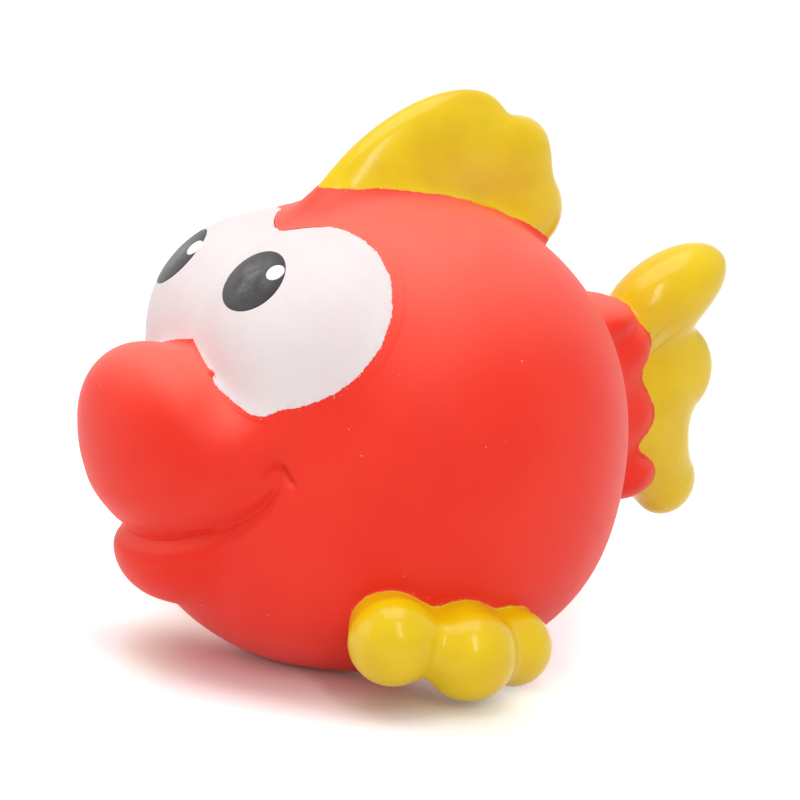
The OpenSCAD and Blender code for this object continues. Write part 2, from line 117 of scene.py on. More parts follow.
def add(tree, kind, settings=None, inputs=None, out=0):
    """One node: its settings are made first, then the value or link of each input. Returns its output."""
    node = tree.nodes.new("ShaderNode" + kind)
    for name, value in (settings or {}).items():
        setattr(node, name, value)
    for key, value in (inputs or {}).items():
        if isinstance(value, Wire):
            tree.links.new(value.socket, node.inputs[key])
        else:
            node.inputs[key].default_value = value
    return Wire(tree, node.outputs[out])


def tint(red, green, blue):
    """A colour as it looks on screen, turned to the linear values that a shader takes."""
    return tuple(
        (c / 12.92 if c <= 0.04045 else ((c + 0.055) / 1.055) ** 2.4) for c in (red, green, blue)) + (1.0,)


def mixed(share, first, second):
    """The first colour where share is 0, the second where it is 1."""
    return add(share.tree, "Mix", {"data_type": "RGBA"}, {0: share, 6: first, 7: second}, 2)


def place(tree):
    """Where a point of the piece lies, in metres."""
    return add(tree, "TexCoord", out="Object")


def grain(tree, size, detail=2.0, rough=0.5, stretch=None):
    """Soft noise from 0 to 1 whose lumps are about size millimetres wide."""
    where = place(tree)
    if stretch:
        where = add(tree, "Mapping", inputs={"Vector": where, "Rotation": stretch[0], "Scale": stretch[1]})
    return add(tree, "TexNoise", None, {
        "Vector": where, "Scale": 1000.0 / size, "Detail": detail, "Roughness": rough})


def in_view(tree):
    """1 for the camera and for what it sees mirrored or through something clear, 0 for light on the toy."""
    camera_ray, glossy_ray, clear_ray = (
        add(tree, "LightPath", out=ray) for ray in ("Is Camera Ray", "Is Glossy Ray", "Is Transmission Ray"))
    return camera_ray.most(glossy_ray).most(clear_ray)


floor_corners = [(x * FLOOR_HALF, y * FLOOR_HALF, 0.0) for x, y in ((-1, -1), (1, -1), (1, 1), (-1, 1))]
paper_mesh = bpy.data.meshes.new("floor")
paper_mesh.from_pydata(floor_corners, [], [(0, 1, 2, 3)])
floor = bpy.data.objects.new("floor", paper_mesh)
bpy.context.scene.collection.objects.link(floor)
paper = bpy.data.materials.new("white_paper")
paper.use_nodes = True
paper_tree = paper.node_tree
paper_tree.nodes.remove(paper_tree.nodes["Principled BSDF"])
sheet = add(paper_tree, "BsdfPrincipled", None, {
    "Base Color": mixed(grain(paper_tree, 30.0, 3.0), PAPER, PAPER_PALE), "Roughness": 0.28,
    "Specular IOR Level": 0.80})
# A painted shadow: the glow fades out toward this fixed ellipse under the toy.
shadow_place = add(paper_tree, "Mapping", {"vector_type": "TEXTURE"}, {
    "Vector": place(paper_tree), "Location": SHADOW_AT,
    "Rotation": (0.0, 0.0, math.radians(SHADOW_TURN)), "Scale": SHADOW_STRETCH})
from_shadow = add(paper_tree, "VectorMath", {"operation": "LENGTH"}, {0: shadow_place}, "Value")
glow = add(paper_tree, "Emission", None, {
    "Color": mixed(from_shadow.step(SHADOW_DEEP, SHADOW_END), SHADOW_GLOW, PAPER_GLOW), "Strength": 1.0})
no_glow = add(paper_tree, "Emission", None, {"Strength": 0.0})
seen_glow = add(paper_tree, "MixShader", None, {0: in_view(paper_tree), 1: no_glow, 2: glow})
glowing_sheet = add(paper_tree, "AddShader", None, {0: sheet, 1: seen_glow})
paper_tree.links.new(glowing_sheet.socket, paper_tree.nodes["Material Output"].inputs["Surface"])
paper_mesh.materials.append(paper)

world = bpy.data.worlds.new("white_room")
bpy.context.scene.world = world
world.use_nodes = True
world_tree = world.node_tree
world_tree.nodes.remove(world_tree.nodes["Background"])
room = add(world_tree, "Background", None, {"Color": WHITE, "Strength": ROOM_LIGHT})
seen_room = add(world_tree, "Background", None, {"Color": WHITE, "Strength": ROOM_SEEN})
either_room = add(world_tree, "MixShader", None, {0: in_view(world_tree), 1: room, 2: seen_room})
world_tree.links.new(either_room.socket, world_tree.nodes["World Output"].inputs["Surface"])


def lamp(name, at, toward, width, height, power):
    """A soft lamp, width across and height along its slope, at a place in metres, turned toward another."""
    light = bpy.data.lights.new(name, "AREA")
    light.shape = "RECTANGLE"
    light.size = width
    light.size_y = height
    light.energy = power
    light_object = bpy.data.objects.new(name, light)
    light_object.location = at
    way = np.array(at) - np.array(toward)
    light_object.rotation_euler = (
        math.atan2(math.hypot(way[0], way[1]), way[2]), 0.0, math.atan2(way[0], -way[1]))
    bpy.context.scene.collection.objects.link(light_object)


lamp("overhead_lamp", (-0.05, 0.02, 0.86), (0.0, 0.0, 0.02), width=0.70, height=0.70, power=3.8)
lamp("strip_lamp", (0.57, -0.12, 0.50), (0.0, 0.0, 0.04), width=0.04, height=0.50, power=1.3)
lamp("front_lamp", (-0.38, -0.76, 0.36), (0.0, 0.0, 0.03), width=0.60, height=0.60, power=1.4)


# Red moulding: the fish is one hollow skin of soft red PVC, about 2 mm thick, cast in a spinning mould.
# Nose, lip and eye domes swell out of the round body; the mouth is a crease pressed into it.
# It comes from the mould satin and has picked up a little dust; its top is painted paler, a painted sheen.
BODY = (60.4, 58.0, 56.2)
BODY_AT = np.array([0.0, -4.9, 26.8])
JAW, JAW_AT, BODY_BLEND = (52.2, 52.0, 31.0), (0.0, -7.9, 13.5), 16.0
NOSE, NOSE_AT, NOSE_LEAN = (26.2, 18.4, 25.4), BODY_AT + (0.0, -30.3, 1.1), 23.0
LIP, LIP_AT, LIP_BLEND = (17.6, 15.0, 13.2), BODY_AT + (0.0, -28.9, -11.9), 4.2
EYE, EYE_AT, EYE_BLEND = (31.0, 29.4, 28.6), BODY_AT + (6.3, -12.7, 11.2), 3.5
# The nose's fold: its width at the mouth, the cheek and the eyes, and where over the mouth it changes.
MOUTH_WIDE, CHEEK_BLEND, CHEEK_SHARP = 1.3, 15.0, 3.6
CHEEK_UNDER, CHEEK_LOW, CHEEK_TOP = 2.0, 9.0, 20.0
# The mouth: degrees below level in its middle and at its ends, how far round they are, and its crease.
MOUTH_LOW, MOUTH_HIGH, MOUTH_SIDE = 15.0, 1.7, 35.0
MOUTH_DEEP, CREASE_WIDE, MOUTH_FADE, MOUTH_FADE_LONG = 1.0, 1.05, 0.88, 0.16
# The dimple at each corner, from one point to another, in degrees round and millimetres over the mouth.
CORNER_FROM, CORNER_TO, CORNER_DEEP, CORNER_WIDE = (32.0, 3.7), (38.0, -0.3), 0.85, 0.45
CORNER_FADE, CORNER_FIRST, CORNER_LAST = 0.25, 0.4, 0.85
# The wall, and the seat in the belly that holds the squeaker.
WALL, BELLY_ROUND = 2.2, 1.5
RECESS_R, RECESS_DEEP, HOLE_R, SEAT_TOP, BOSS_R = 8.5, 1.5, 6.4, 3.9, 10.5
# The frill: thickness, reach, height and foot, and its eggs' middles and sizes as shares of reach and height.
FRILL_T, FRILL_OUT, FRILL_H, FRILL_LOW = 13.0, 9.8, 28.3, 12.1
FRILL_BLEND, SCALLOP_BLEND = 7.0, 2.2
TAIL_Y = BODY_AT[1] + BODY[1] / 2
FRILL_SHARES = (
    ((0.0, 0.44), (1.5, 0.84)),
    ((0.14, 0.835), (0.80, 0.20)),
    ((0.33, 0.70), (1.02, 0.33)),
    ((0.37, 0.40), (1.06, 0.35)),
    ((0.41, 0.13), (1.04, 0.27)))


def ease(t):
    """0 below 0, 1 above 1, and t squared times (3 - 2 t) between them."""
    t = np.clip(t, 0.0, 1.0)
    return t * t * (3.0 - 2.0 * t)


def blend(a, b, k):
    """The smaller of two distances, with a soft fold of width k where they meet."""
    h = np.maximum(k - np.abs(a - b), 0.0) / k
    return np.minimum(a, b) - h ** 3 * k / 6.0


def join(forms, k):
    """All distances of a list as one soft union."""
    whole = forms[-1]
    for form in forms[-2::-1]:
        whole = blend(form, whole, k)
    return whole


def egg(p, at, size, lean=0.0):
    """Distance, nearly, to an egg: a (a - 1) / b.

    Here a is the length of p over the half sizes, and b the length of p over their squares.
    """
    c, s = math.cos(math.radians(lean)), math.sin(math.radians(lean))
    x, y, z = p[0] - at[0], p[1] - at[1], p[2] - at[2]
    y, z = y * c + z * s, z * c - y * s
    x, y, z = x * 2 / size[0], y * 2 / size[1], z * 2 / size[2]
    a = np.sqrt(x * x + y * y + z * z)
    b = 2 * np.sqrt((x / size[0]) ** 2 + (y / size[1]) ** 2 + (z / size[2]) ** 2)
    return a * (a - 1.0) / np.maximum(b, 1e-9)


def finger(p, a, b, ra, rb, flat=1.0):
    """Distance to a tapered finger from a to b: |p - nearest point of the line| less the radius there."""
    s = ((p[0] - a[0]) * flat, p[1] - a[1], p[2] - a[2])
    d = ((b[0] - a[0]) * flat, b[1] - a[1], b[2] - a[2])
    t = np.clip((s[0] * d[0] + s[1] * d[1] + s[2] * d[2]) / (d[0] ** 2 + d[1] ** 2 + d[2] ** 2), 0.0, 1.0)
    away = np.sqrt((s[0] - t * d[0]) ** 2 + (s[1] - t * d[1]) ** 2 + (s[2] - t * d[2]) ** 2)
    return away - (ra + (rb - ra) * t)


def fold(p):
    """Both halves of the toy are the same: x without its sign."""
    return np.stack([np.abs(p[0]), p[1], p[2]])


def frill(p):
    """The scalloped collar round the tail's root: one tall egg and four small ones."""
    eggs = [
        egg(p, (0.0, TAIL_Y + at[0] * FRILL_OUT, FRILL_LOW + at[1] * FRILL_H),
            (FRILL_T, size[0] * FRILL_OUT, size[1] * FRILL_H)) for at, size in FRILL_SHARES]
    return join(eggs, SCALLOP_BLEND)


def round_angle(p):
    """How far a point lies round from the middle of the mouth, in degrees, on either side."""
    return np.degrees(np.arctan2(np.abs(p[0]), BODY_AT[1] - p[1]))


def mouth_angle(turn):
    """The mouth's angle below level: low in the middle, rising to the corners with the fourth power."""
    return -MOUTH_LOW + (MOUTH_LOW - MOUTH_HIGH) * np.minimum(turn / MOUTH_SIDE, 1.0) ** 4


def over_mouth(p):
    """Height over the mouth, along the face: the angle over its line times the distance from the middle."""
    x, y, z = (p[i] - BODY_AT[i] for i in range(3))
    flat = np.hypot(x, y)
    angle = np.degrees(np.arctan2(z, flat)) - mouth_angle(round_angle(p))
    return angle * np.hypot(flat, z) * math.pi / 180


def crease(p):
    """How deep the mouth is pressed in: a bell curve across the line, and a dimple across its corner."""
    turn, over = round_angle(p), over_mouth(p)
    line = MOUTH_DEEP * np.exp(-(over / CREASE_WIDE) ** 2) * (
        1.0 - ease((turn / MOUTH_SIDE - MOUTH_FADE) / MOUTH_FADE_LONG))
    one_degree = math.radians(BODY[0] / 2)
    u, v = (turn - CORNER_FROM[0]) * one_degree, over - CORNER_FROM[1]
    a, b = (CORNER_TO[0] - CORNER_FROM[0]) * one_degree, CORNER_TO[1] - CORNER_FROM[1]
    share = (u * a + v * b) / (a * a + b * b)
    aside = (u * b - v * a) / math.hypot(a, b)
    ends = ease(share / CORNER_FADE + CORNER_FIRST) * (1.0 - ease((share - CORNER_LAST) / CORNER_FADE))
    return line + CORNER_DEEP * np.exp(-(aside / CORNER_WIDE) ** 2) * ends


def under_eyes(p, with_frill=True):
    """Body, jaw, lip and nose; the nose flows into the cheek, with a sharp fold at the lip and the eyes."""
    trunk = blend(egg(p, BODY_AT, BODY), egg(p, JAW_AT, JAW), BODY_BLEND)
    if with_frill:
        trunk = blend(trunk, frill(p), FRILL_BLEND)
    over = over_mouth(p)
    low = blend(trunk, egg(p, LIP_AT, LIP), LIP_BLEND)
    k = MOUTH_WIDE + (CHEEK_BLEND - MOUTH_WIDE) * ease((over + CHEEK_UNDER) / CHEEK_LOW)
    k = k + (CHEEK_SHARP - CHEEK_BLEND) * ease((over - CHEEK_LOW) / (CHEEK_TOP - CHEEK_LOW))
    return blend(low, egg(p, NOSE_AT, NOSE, NOSE_LEAN), k) + crease(p)


def domes(p):
    """Both eye domes, as one egg for both halves."""
    return egg(fold(p), EYE_AT, EYE)


def skin(p):
    """The whole outer skin: negative inside, and nearly the distance in millimetres near it."""
    return blend(under_eyes(p), domes(p), EYE_BLEND)


def bare_skin(p):
    """The skin without the frill, which is a skin of its own."""
    return blend(under_eyes(p, False), domes(p), EYE_BLEND)


STEPS, HALVINGS = 24, 16


def leave(form, start, way, near, far):
    """How far along each way from start the form is left for the last time: in steps, then by halving one."""
    start = np.reshape(start, (3,) + (1,) * (way.ndim - 1))
    near = np.zeros(way.shape[1:]) + near
    stride = (far - near) / STEPS
    low = near
    for share in range(1, STEPS):
        middle = near + share * stride
        low = np.where(form(start + middle * way) < 0, middle, low)
    near, far = low, low + stride
    for _ in range(HALVINGS):
        middle = (near + far) / 2
        inside = form(start + middle * way) < 0
        near = np.where(inside, middle, near)
        far = np.where(inside, far, middle)
    return (near + far) / 2


def closed_mesh(name, first, rings, last, marks=None):
    """A closed skin from a pole, rings of points (3, rings, turns) and a pole, faces outwards.

    marks are numbers for each point, in the same order, kept as attributes for the finish.
    """
    count, turns = rings.shape[1:]
    first_row, last_row = np.reshape(first, (1, 3)), np.reshape(last, (1, 3))
    points = np.concatenate([first_row, rings.reshape(3, -1).T, last_row]) / 1000
    i = np.arange(turns)
    k = (i + 1) % turns
    top = np.stack([0 * i, 1 + k, 1 + i], 1)
    j = np.arange(count - 1)[:, None] * turns + 1
    quads = np.stack([j + i, j + k, j + k + turns, j + i + turns], -1).reshape(-1, 4)
    low = 1 + (count - 1) * turns
    end = np.stack([low + i, low + k, 0 * i + len(points) - 1], 1)
    corners = np.concatenate([top.ravel(), quads.ravel(), end.ravel()])
    sizes = np.concatenate([np.full(turns, 3), np.full(len(quads), 4), np.full(turns, 3)])
    mesh = bpy.data.meshes.new(name)
    mesh.vertices.add(len(points))
    mesh.vertices.foreach_set("co", points.ravel())
    mesh.loops.add(len(corners))
    mesh.loops.foreach_set("vertex_index", corners.astype(np.int32))
    mesh.polygons.add(len(sizes))
    mesh.polygons.foreach_set("loop_start", np.concatenate([[0], np.cumsum(sizes)[:-1]]).astype(np.int32))
    mesh.polygons.foreach_set("use_smooth", np.ones(len(sizes), bool))
    mesh.update(calc_edges=True)
    for mark, values in (marks or {}).items():
        mesh.attributes.new(mark, "FLOAT", "POINT").data.foreach_set("value", values.astype(np.float32))
    piece = bpy.data.objects.new(name, mesh)
    bpy.context.scene.collection.objects.link(piece)
    return piece


def level(turn, rise):
    """A direction from a turn round the toy, 0 at the mouth, and a rise above level, in degrees."""
    t, r = np.radians(turn), np.radians(rise)
    return np.stack([np.cos(r) * np.sin(t), -np.cos(r) * np.cos(t), np.sin(r) + 0 * t])


# The outer rings run from the crown down to the recess, and lie close together at the mouth and the face.
TURNS, RISING, FALLING, INNER = 380, 146, 84, 10
SIDE_BUNCH, FACE_BUNCH, MOUTH_BUNCH, BARELY_DOWN = 0.3, 9.0, 1.15, -1e-6
even = 360.0 * np.arange(TURNS) / TURNS
toward_sides = SIDE_BUNCH * 90 / math.pi * np.sin(np.radians(2 * even))
around_toy = even - toward_sides - FACE_BUNCH * np.sin(np.radians(even))
mouth_rise = mouth_angle(np.minimum(around_toy, 360 - around_toy))
recess_rise = -math.degrees(math.atan(BODY_AT[2] / RECESS_R))
share_up = (1 - np.arange(1, RISING + 1)[:, None] / RISING) ** MOUTH_BUNCH
share_down = (np.arange(1, FALLING)[:, None] / FALLING) ** MOUTH_BUNCH
rises = np.concatenate([
    mouth_rise + (90 - mouth_rise) * share_up,
    mouth_rise + (recess_rise - mouth_rise) * share_down])
ways = level(around_toy[None, :] + 0 * rises, rises)
reach = leave(bare_skin, BODY_AT, ways, WALL, BODY[1])
floor_reach = -BODY_AT[2] / np.minimum(ways[2], BARELY_DOWN)
reach = np.where(ways[2] < 0, blend(reach, floor_reach, BELLY_ROUND), reach)
outer_rings = BODY_AT[:, None, None] + reach * ways


def circle(radius, z):
    """A ring of points round the belly's middle."""
    return np.array([0.0, BODY_AT[1], z])[:, None] + radius * level(around_toy, 0 * around_toy)


seat_rings = np.stack([
    circle(RECESS_R, 0.0), circle(RECESS_R, RECESS_DEEP), circle(HOLE_R, RECESS_DEEP),
    circle(HOLE_R, SEAT_TOP), circle(BOSS_R, SEAT_TOP), circle(BOSS_R, WALL)], 1)
boss_rise = -math.degrees(math.atan((BODY_AT[2] - WALL) / BOSS_R))
rises_in = boss_rise + (90 - boss_rise) * np.arange(1, INNER)[:, None] / INNER + 0 * around_toy
ways_in = level(around_toy[None, :] + 0 * rises_in, rises_in)
reach_in = leave(lambda p: bare_skin(p) + WALL, BODY_AT, ways_in, 0.0, BODY[1])
floor_reach_in = (WALL - BODY_AT[2]) / np.minimum(ways_in[2], BARELY_DOWN)
reach_in = np.where(ways_in[2] < 0, np.minimum(reach_in, floor_reach_in), reach_in)
inner_rings = BODY_AT[:, None, None] + reach_in * ways_in
upright = np.array([0.0, 0.0, 1.0])
crown = leave(bare_skin, BODY_AT, upright[:, None], WALL, BODY[1])
crown_in = leave(lambda p: bare_skin(p) + WALL, BODY_AT, upright[:, None], 0.0, BODY[1])
moulding = closed_mesh(
    "moulded_body", BODY_AT + crown * upright, np.concatenate([outer_rings, seat_rings, inner_rings], 1),
    BODY_AT + crown_in * upright)


def finish(name, fixed, varying):
    """A material: fixed sets the shader's own sockets, varying makes the links from the node tree."""
    material = bpy.data.materials.new(name)
    material.use_nodes = True
    tree = material.node_tree
    shader = tree.nodes["Principled BSDF"]
    for socket, value in fixed.items():
        shader.inputs[socket].default_value = value
    for socket, wire in varying(tree).items():
        tree.links.new(wire.socket, shader.inputs[socket])
    return material


def specks(tree, size, spacing, share):
    """1 in small dots of the given size, spacing apart, with only a share of the dots kept."""
    cells = {"Vector": place(tree), "Scale": 1000.0 / spacing}
    away = add(tree, "TexVoronoi", {"feature": "F1"}, cells)
    colour = add(tree, "TexVoronoi", {"feature": "F1"}, cells, "Color")
    luck = add(tree, "SeparateColor", None, {0: colour})
    near = 1.0 - away.step(0.3 * size / spacing, 0.5 * size / spacing)
    return near * luck.step(1.0 - share, 1.0 - share + 0.01)


RED = tint(0.945, 0.205, 0.12)
RED_DEEP = tint(0.925, 0.165, 0.085)
# Paler pink for the painted sheen on faces that turn upward.
RED_TOP_SHEEN = tint(0.98, 0.40, 0.33)
DUST = tint(0.96, 0.86, 0.82)
VINYL = {"Specular IOR Level": 0.26, "IOR": 1.5, "Sheen Weight": 0.08, "Sheen Roughness": 0.5}


def red_vinyl(tree):
    """Colour, roughness and relief of bare vinyl: faint clouds, a painted sheen paler on top, dust and a fine
    grain.
    """
    clouds = grain(tree, 16.0, 3.0)
    dust = specks(tree, 0.26, 3.0, 0.14).most(specks(tree, 0.15, 1.5, 0.06))
    upward = add(tree, "SeparateXYZ", None, {0: add(tree, "NewGeometry", out="Normal")}, "Z")
    # A painted sheen: faces that turn upward are painted paler pink, as if lit from above.
    painted_top_sheen = upward.step(0.33, 1.05) * (0.80 + 0.40 * grain(tree, 5.0, 3.0))
    colour = mixed(painted_top_sheen, mixed(clouds.step(0.3, 0.75), RED, RED_DEEP), RED_TOP_SHEEN)
    rough = 0.46 + 0.10 * grain(tree, 2.5, 3.0) + 0.20 * dust
    relief = 0.6 * grain(tree, 0.5, 3.0) + 0.5 * grain(tree, 6.0) + 1.5 * dust
    return mixed(dust * 0.7, colour, DUST), rough, relief


def bumped(tree, relief, depth):
    """A normal from relief: depth millimetres from 0 to 1."""
    return add(tree, "Bump", None, {"Strength": 1.0, "Distance": depth / 1000, "Height": relief})


def vinyl_links(tree):
    """Bare vinyl alone."""
    colour, rough, relief = red_vinyl(tree)
    return {"Base Color": colour, "Roughness": rough, "Normal": bumped(tree, relief, 0.02)}


vinyl = finish("red_vinyl", VINYL, vinyl_links)
moulding.data.materials.append(vinyl)
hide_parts("body_shell")
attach(moulding, "toy")


# Tail frill: the scalloped red collar that the tail grows out of, part of the same moulding.
# It is drawn as a skin of its own, from a point inside the toy, and its edge sinks into the body.
FRILL_START = (0.0, TAIL_Y - 5.0, FRILL_LOW + 0.5 * FRILL_H)
RING_BUNCH, RIM_FROM, RIM_LONG = 0.25, 0.93, 0.07
UNDER_RINGS, UNDER_DEEP, BASE_DOUBT = 5, 0.8, 1.0


def bearing(axis, side):
    """Three directions at right angles: the axis, and two across it."""
    axis = np.array(axis, float) / np.linalg.norm(axis)
    end = np.cross(axis, side)
    end = end / np.linalg.norm(end)
    return axis, np.cross(end, axis), end


def fan(axes, tip, turn, long):
    """Directions tip degrees off the first of axes, at turn degrees round it, bunched along its long side."""
    t, u = np.radians(tip), np.radians(turn)
    across = np.stack([np.cos(u) * a + long * np.sin(u) * b for a, b in zip(axes[1], axes[2])])
    across = across / np.sqrt((across ** 2).sum(0))
    return np.cos(t) * np.reshape(axes[0], (3,) + (1,) * (across.ndim - 1)) + np.sin(t) * across


def patch(
        name, start, axes, outer, base, edge, *,
        long, near, far, widest, turns, rings, lift, sink, marks=None):
    """A skin cut from the form outer, seen from start, out to where edge on the base turns positive.

    It stands lift over the form, sinks below it at its rim, and is closed by an inner skin below.
    """
    start = np.array(start, float)
    around = 360.0 * np.arange(turns) / turns
    low_tip, high_tip = np.zeros(turns), np.full(turns, float(widest))
    for _ in range(HALVINGS):
        tip = (low_tip + high_tip) / 2
        way = fan(axes, tip, around, long)
        inside = edge(start[:, None] + leave(base, start, way, near, far) * way) < 0
        low_tip, high_tip = np.where(inside, tip, low_tip), np.where(inside, high_tip, tip)
    share = np.arange(1, rings + 1)[:, None] / rings
    share = share * (1.0 + RING_BUNCH - RING_BUNCH * share)
    way = fan(axes, share * low_tip, around + 0 * share, long)
    inner = leave(base, start, way, near, far)
    reach = leave(outer, start, way, inner - BASE_DOUBT, far)
    rise = lift - (lift + sink) * ease((share - RIM_FROM) / RIM_LONG)
    skin_points = start[:, None, None] + (reach + rise) * way
    under_share = (np.arange(UNDER_RINGS, 0, -1) / (UNDER_RINGS + 1))[:, None]
    under = fan(axes, under_share * low_tip, around + 0 * under_share, long)
    under_points = start[:, None, None] + (leave(base, start, under, near, far) - UNDER_DEEP) * under
    axis = np.array(axes[0])
    pole_in = leave(base, start, axis[:, None], near, far)
    pole_out = leave(outer, start, axis[:, None], pole_in - BASE_DOUBT, far)
    points = np.concatenate([skin_points, under_points], 1)
    first = start + (pole_out + lift) * axis
    last = start + (pole_in - UNDER_DEEP) * axis
    every = np.concatenate([first[:, None], points.reshape(3, -1), last[:, None]], 1)
    values = {mark: form(every) for mark, form in (marks or {}).items()}
    return closed_mesh(name, first, points, last, values)


collar = patch(
    "tail_frill", FRILL_START, bearing((0, 1, 0), (1, 0, 0)),
    skin, bare_skin, lambda p: frill(p) - FRILL_BLEND,
    long=1.7, near=0.0, far=60.0, widest=120.0, turns=300, rings=120, lift=0.02, sink=0.15)
collar.data.materials.append(vinyl)
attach(collar, "toy")


# Eye whites: one coat of chalky white paint sprayed through a mask over both eye domes.
# Its edge is ragged, thin at the mask and dusted with overspray, so the red shows through.
CHALK = tint(0.91, 0.87, 0.87)
CHALK_WARM = tint(0.90, 0.84, 0.845)
CHALK_THIN = tint(0.95, 0.70, 0.68)
PAINT_DARK = tint(0.45, 0.38, 0.38)
# Where the white is sprayed past the domes' fold: a place, how wide round it, and how far past.
OVERSHOOT = (
    ((14.0, -31.0, 33.8), 2.2, 1.3),
    ((8.5, -33.0, 35.8), 3.2, 1.07),
    ((5.4, -33.4, 38.4), 1.8, 0.4),
    ((0.0, -24.0, 50.0), 2.4, 0.9))
# How far past the paint's edge its skin is drawn, and over and ahead of what place that is cut short.
MARGIN, MARGIN_CUT = 1.6, 1.4
CUT_OVER, CUT_OVER_LONG, CUT_AHEAD, CUT_AHEAD_LONG = 35.5, 2.0, -27.0, 3.0
SLOPE_STEP, LEAST_SLOPE = 0.05, 0.25


def flat_distance(form, surface):
    """How far, in millimetres, the line form = 0 lies along the surface: the form over its slope there."""
    def measure(p):
        here, height = form(p), surface(p)
        steps = [SLOPE_STEP * np.eye(3)[i][:, None] for i in range(3)]
        slope = np.stack([form(p + step) - here for step in steps]) / SLOPE_STEP
        outward = np.stack([surface(p + step) - height for step in steps])
        outward = outward / np.maximum(np.sqrt((outward ** 2).sum(0)), 1e-9)
        slope = slope - (slope * outward).sum(0) * outward
        return here / np.maximum(np.sqrt((slope ** 2).sum(0)), LEAST_SLOPE)
    return measure


def white_zone(p):
    """Negative where the paint lies: on the domes, and past their fold by a bell curve at each OVERSHOOT."""
    past = sum(
        deep * np.exp(-sum((fold(p)[i] - at[i]) ** 2 for i in range(3)) / (2 * wide * wide))
        for at, wide, deep in OVERSHOOT)
    return domes(p) - under_eyes(p) - past


def coat_margin(p):
    """How far past the paint's edge the skin is drawn; hardly at all where the nose's top hides the fold."""
    over, ahead = ease((p[2] - CUT_OVER) / CUT_OVER_LONG), ease((CUT_AHEAD - p[1]) / CUT_AHEAD_LONG)
    return MARGIN - MARGIN_CUT * over * ahead


eye_coat = patch(
    "eye_white_coat", BODY_AT, bearing(EYE_AT * (0, 1, 1) - BODY_AT, (1, 0, 0)),
    skin, skin, lambda p: white_zone(p) - coat_margin(p),
    long=1.0, near=WALL, far=BODY[1], widest=85.0, turns=340, rings=130, lift=0.05, sink=0.12,
    marks={"inside": lambda p: -flat_distance(white_zone, skin)(p)})


def painted(tree, ragged, spray):
    """Share of paint on the skin: the distance inside the mask's line, made ragged, then dusted past it."""
    line = add(tree, "Attribute", {"attribute_name": "inside"}, out="Fac")
    fray = (grain(tree, 0.55, 4.0, 0.75) - 0.5) * ragged + (grain(tree, 3.0, 2.0) - 0.5) * ragged
    coat = (line + fray).step(-0.05, 0.05)
    dots = specks(tree, 0.20, 0.36, 0.4) * (line + 0.7).step(0.0, 0.8) * spray
    return line, coat.most(dots)


def eye_links(tree):
    """Chalky white over the red vinyl: pink where it is thin near its edge, with a few dark specks."""
    red, red_rough, red_relief = red_vinyl(tree)
    line, share = painted(tree, 0.65, 0.9)
    chalk = mixed(grain(tree, 9.0, 3.0).step(0.35, 0.8), CHALK, CHALK_WARM)
    thin = (1.0 - line.step(0.0, 0.9)) * grain(tree, 0.9, 3.0).step(0.45, 0.75)
    chalk = mixed(thin * 0.5, chalk, CHALK_THIN)
    specked = mixed(specks(tree, 0.18, 2.4, 0.14), chalk, PAINT_DARK)
    rough = red_rough + share * (0.62 + 0.1 * grain(tree, 1.0) - red_rough)
    relief = red_relief + share * (1.1 * grain(tree, 0.4, 3.0) + 0.8 * grain(tree, 1.6, 2.0) + 1.2)
    return {
        "Base Color": mixed(share, red, specked), "Roughness": rough, "Normal": bumped(tree, relief, 0.03)}


eye_coat.data.materials.append(finish("chalky_white_paint", VINYL, eye_links))
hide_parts("eye_whites")
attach(eye_coat, "toy")


# Pupils and glints: pad-printed ovals in cloudy dark grey, darkest at the edge and paler toward the middle,
# partly a painted soft reflection, each with a small white dot.
# Both dots sit toward the toy's left, as if one lamp lit both eyes.
PUPIL, PUPIL_TURN, GLINT = (10.3, 9.1), 12.0, (2.5, 2.5)
INK = tint(0.21, 0.20, 0.21)
PALE_INK_AND_SHEEN = tint(0.45, 0.44, 0.445)
INK_EDGE = tint(0.12, 0.10, 0.10)
DOT = tint(0.95, 0.945, 0.95)
DOT_EDGE = tint(0.82, 0.81, 0.82)
# Each eye's side, its look in degrees up and outward, and its dot's place in shares of the pupil's size.
LOOKS = {"left": (1, 45.4, 5.6, (0.23, 0.27)), "right": (-1, 41.7, 28.2, (-0.345, 0.21))}


def facing(rise, outward, turn):
    """Three directions: where a left eye looks, then the width and height of its oval, turned by turn."""
    r, o, t = math.radians(rise), math.radians(outward), math.radians(turn)
    look = (math.sin(o) * math.cos(r), -math.cos(o) * math.cos(r), math.sin(r))
    ahead, across, along = bearing(look, (1, 0, 0))
    return ahead, math.cos(t) * across + math.sin(t) * along, math.cos(t) * along - math.sin(t) * across


def mirrored(axes, side):
    """Three directions on the toy's left, side 1, or mirrored to its right, side -1, faces still outwards."""
    ahead, across, along = (axis * (side, 1, 1) for axis in axes)
    return ahead, across * side, along


def oval(at, axes, size):
    """How far from the middle of a printed oval, as a share of its half size, less 1."""
    def measure(p):
        q = [p[i] - at[i] for i in range(3)]
        across = sum(q[i] * axes[1][i] for i in range(3)) * 2 / size[0]
        along = sum(q[i] * axes[2][i] for i in range(3)) * 2 / size[1]
        return np.hypot(across, along) - 1.0
    return measure


def print_oval(name, side, axes, size, *, lift, turns, rings):
    """A thin printed oval on the eye dome of that side, found from the dome's middle."""
    at = EYE_AT * (side, 1, 1)
    turned = mirrored(axes, side)
    shape = oval(at, turned, size)
    return patch(
        name, at, turned, skin, skin, shape,
        long=1.0, near=3.5, far=31.0, widest=60.0, turns=turns, rings=rings, lift=lift, sink=0.02,
        marks={"rim": shape})


